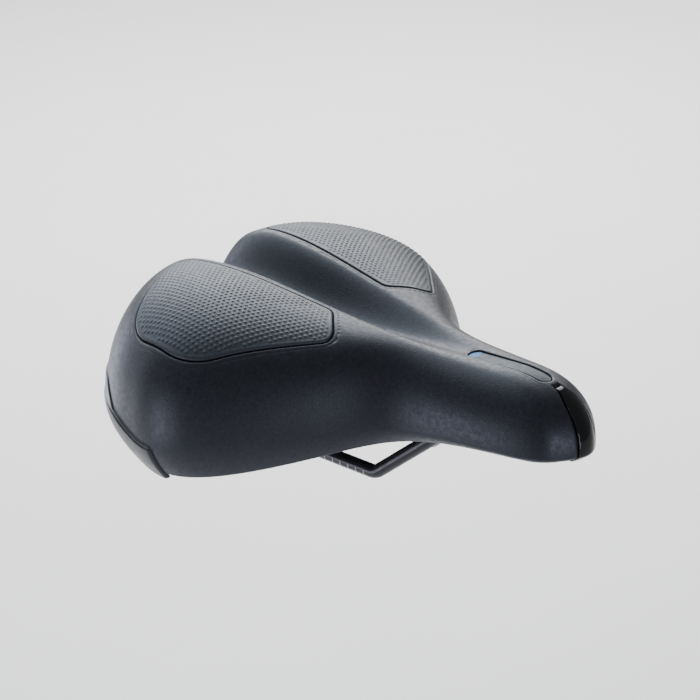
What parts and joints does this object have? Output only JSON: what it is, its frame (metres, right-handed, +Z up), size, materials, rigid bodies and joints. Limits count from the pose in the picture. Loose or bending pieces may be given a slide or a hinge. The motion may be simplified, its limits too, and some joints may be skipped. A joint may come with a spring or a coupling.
{
  "type": "bicycle saddle",
  "caption": "Wide comfort bicycle saddle: padded two-lobed seat with a central channel on bent steel rails, sprung at the rear by rubber blocks.",
  "frame": {"origin": "midway between the two rails' centre lines, at the middle of their straight clamp zone", "axes": "+X towards the nose, +Y to the rider's left, +Z up away from the seat post"},
  "size_m": [0.2591, 0.208, 0.0893],
  "materials": {
    "cover_skin": "fine-grained matte black synthetic skin",
    "grip_skin": "matte black skin with small raised dots",
    "foam": "open-cell padding",
    "gel": "soft gel",
    "base_plastic": "moulded satin black",
    "guard_plastic": "satin black",
    "gloss_plastic": "polished black",
    "inlay_plastic": "satin blue-grey with a blue rear end",
    "rail_paint": "satin black powder coat with pale scale ticks",
    "zinc_steel": "zinc plated",
    "elastomer_rubber": "matte rubber"
  },
  "bodies": {
    "rail_frame": {"saddle_rail": "rail_paint", "rear_carrier": "base_plastic", "left_elastomer": "elastomer_rubber", "right_elastomer": "elastomer_rubber"},
    "seat": {"cover": "cover_skin", "foam_pad": "foam", "base_shell": "base_plastic", "rear_bumper": "guard_plastic", "nose_bumper": "gloss_plastic", "nose_inlay": "inlay_plastic", "nose_clamp_plate": "base_plastic", "rear_nose_clamp_screw": "zinc_steel", "front_nose_clamp_screw": "zinc_steel", "left_grip_panel": "grip_skin", "right_grip_panel": "grip_skin", "left_gel_pad": "gel", "right_gel_pad": "gel", "left_suspension_washer": "zinc_steel", "right_suspension_washer": "zinc_steel", "left_suspension_bolt": "zinc_steel", "right_suspension_bolt": "zinc_steel", "left_suspension_nut": "zinc_steel", "right_suspension_nut": "zinc_steel", "left_bumper_screw": "zinc_steel", "right_bumper_screw": "zinc_steel"}
  },
  "joints": [
    {"name": "seat_suspension", "type": "hinge", "parent": "rail_frame", "child": "seat", "pos_m": [0.116, 0, 0.0385], "axis": [0, -1, 0], "range_deg": [0, 2], "stiffness_Nm_per_rad": 1200, "springref_deg": -0.34, "deforming": ["left_elastomer", "right_elastomer"]}
  ]
}
